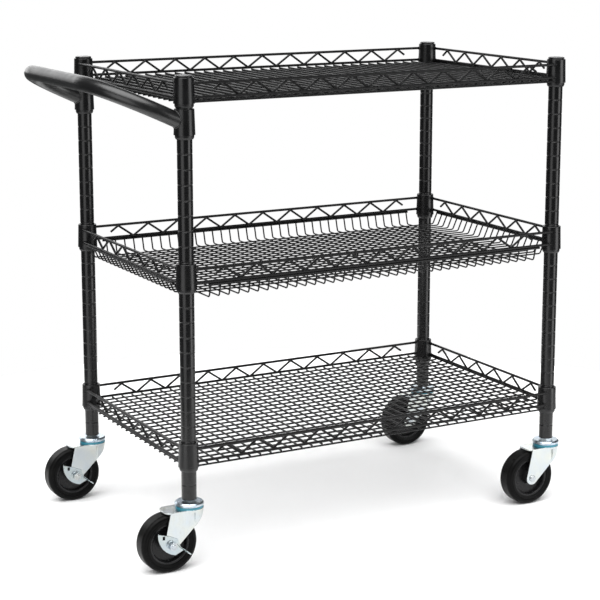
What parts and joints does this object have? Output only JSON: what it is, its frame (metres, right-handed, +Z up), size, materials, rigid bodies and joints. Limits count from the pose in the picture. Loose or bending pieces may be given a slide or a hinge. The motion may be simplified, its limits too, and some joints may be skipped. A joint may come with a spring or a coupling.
{
  "type": "wire shelf utility cart",
  "caption": "Black wire utility cart with flat shelves above and below, a wire basket shelf between them, a bent tube push handle and swivel casters, some with foot brakes.",
  "frame": {"origin": "on the floor, under the middle of the rectangle of the four posts", "axes": "+Z up, +X away from the handle, +Y to the back; the handle is at the -X end"},
  "size_m": [0.9096, 0.4978, 0.8315],
  "materials": {
    "post": "semi-gloss black powder coat",
    "collar": "semi-gloss black powder coat",
    "shelf_wire": "semi-gloss black powder coat",
    "handle": "semi-gloss black powder coat",
    "sleeve": "black moulded plastic",
    "black_plastic": "black moulded plastic",
    "caster_zinc": "bright zinc plate",
    "race_zinc": "smooth zinc plate with a blue tint",
    "stem_zinc": "smooth zinc plate",
    "lever_zinc": "bright zinc plate on a pressed lever",
    "steel_ball": "polished steel",
    "fastener": "bright zinc plate",
    "seal": "blue-green moulded plastic",
    "tread": "solid black rubber, satin",
    "wheel_centre": "black moulded plastic, satin",
    "bush": "pale bearing plastic"
  },
  "bodies": {
    "frame": {"post_front_left": "post", "post_front_right": "post", "post_back_left": "post", "post_back_right": "post", "post_caps": "black_plastic", "post_inserts": "black_plastic", "top_shelf_sleeves": "sleeve", "top_shelf_collars": "collar", "top_rim_wires": "shelf_wire", "top_truss_wires": "shelf_wire", "middle_shelf_sleeves": "sleeve", "middle_shelf_collars": "collar", "middle_rim_wires": "shelf_wire", "middle_truss_wires": "shelf_wire", "bottom_shelf_sleeves": "sleeve", "bottom_shelf_collars": "collar", "bottom_rim_wires": "shelf_wire", "bottom_truss_wires": "shelf_wire", "top_mesh": "shelf_wire", "bottom_mesh": "shelf_wire", "basket_border": "shelf_wire", "basket_wires": "shelf_wire", "handle_sleeves": "sleeve", "handle_collars": "collar", "handle_bar": "handle", "caster_stems": "stem_zinc", "caster_top_races": "race_zinc", "caster_balls": "steel_ball"},
    "swivel_front_left": {"caster_fork_front_left": "caster_zinc", "seal_ring_front_left": "seal", "axle_bolt_front_left": "fastener", "axle_nut_front_left": "fastener"},
    "wheel_front_left": {"hub_front_left": "wheel_centre", "tyre_front_left": "tread", "bush_front_left": "bush"},
    "brake_front_left": {"brake_lever_front_left": "lever_zinc"},
    "swivel_front_right": {"caster_fork_front_right": "caster_zinc", "seal_ring_front_right": "seal", "axle_bolt_front_right": "fastener", "axle_nut_front_right": "fastener"},
    "wheel_front_right": {"hub_front_right": "wheel_centre", "tyre_front_right": "tread", "bush_front_right": "bush"},
    "swivel_back_left": {"caster_fork_back_left": "caster_zinc", "seal_ring_back_left": "seal", "axle_bolt_back_left": "fastener", "axle_nut_back_left": "fastener"},
    "wheel_back_left": {"hub_back_left": "wheel_centre", "tyre_back_left": "tread", "bush_back_left": "bush"},
    "brake_back_left": {"brake_lever_back_left": "lever_zinc"},
    "swivel_back_right": {"caster_fork_back_right": "caster_zinc", "seal_ring_back_right": "seal", "axle_bolt_back_right": "fastener", "axle_nut_back_right": "fastener"},
    "wheel_back_right": {"hub_back_right": "wheel_centre", "tyre_back_right": "tread", "bush_back_right": "bush"}
  },
  "joints": [
    {"name": "swivel_turn_front_left", "type": "hinge", "parent": "frame", "child": "swivel_front_left", "pos_m": [-0.37, -0.214, 0.108], "axis": [0, 0, 1], "continuous": true},
    {"name": "wheel_spin_front_left", "type": "hinge", "parent": "swivel_front_left", "child": "wheel_front_left", "pos_m": [-0.413, -0.214, 0.0508], "axis": [0, 1, 0], "continuous": true},
    {"name": "brake_press_front_left", "type": "hinge", "parent": "swivel_front_left", "child": "brake_front_left", "pos_m": [-0.413, -0.214, 0.0508], "axis": [0, 1, 0], "range_deg": [0, 20]},
    {"name": "swivel_turn_front_right", "type": "hinge", "parent": "frame", "child": "swivel_front_right", "pos_m": [0.37, -0.214, 0.108], "axis": [0, 0, 1], "continuous": true},
    {"name": "wheel_spin_front_right", "type": "hinge", "parent": "swivel_front_right", "child": "wheel_front_right", "pos_m": [0.327, -0.214, 0.0508], "axis": [0, 1, 0], "continuous": true},
    {"name": "swivel_turn_back_left", "type": "hinge", "parent": "frame", "child": "swivel_back_left", "pos_m": [-0.37, 0.214, 0.108], "axis": [0, 0, 1], "continuous": true},
    {"name": "wheel_spin_back_left", "type": "hinge", "parent": "swivel_back_left", "child": "wheel_back_left", "pos_m": [-0.413, 0.214, 0.0508], "axis": [0, 1, 0], "continuous": true},
    {"name": "brake_press_back_left", "type": "hinge", "parent": "swivel_back_left", "child": "brake_back_left", "pos_m": [-0.413, 0.214, 0.0508], "axis": [0, 1, 0], "range_deg": [0, 20]},
    {"name": "swivel_turn_back_right", "type": "hinge", "parent": "frame", "child": "swivel_back_right", "pos_m": [0.37, 0.214, 0.108], "axis": [0, 0, 1], "continuous": true},
    {"name": "wheel_spin_back_right", "type": "hinge", "parent": "swivel_back_right", "child": "wheel_back_right", "pos_m": [0.327, 0.214, 0.0508], "axis": [0, 1, 0], "continuous": true}
  ]
}
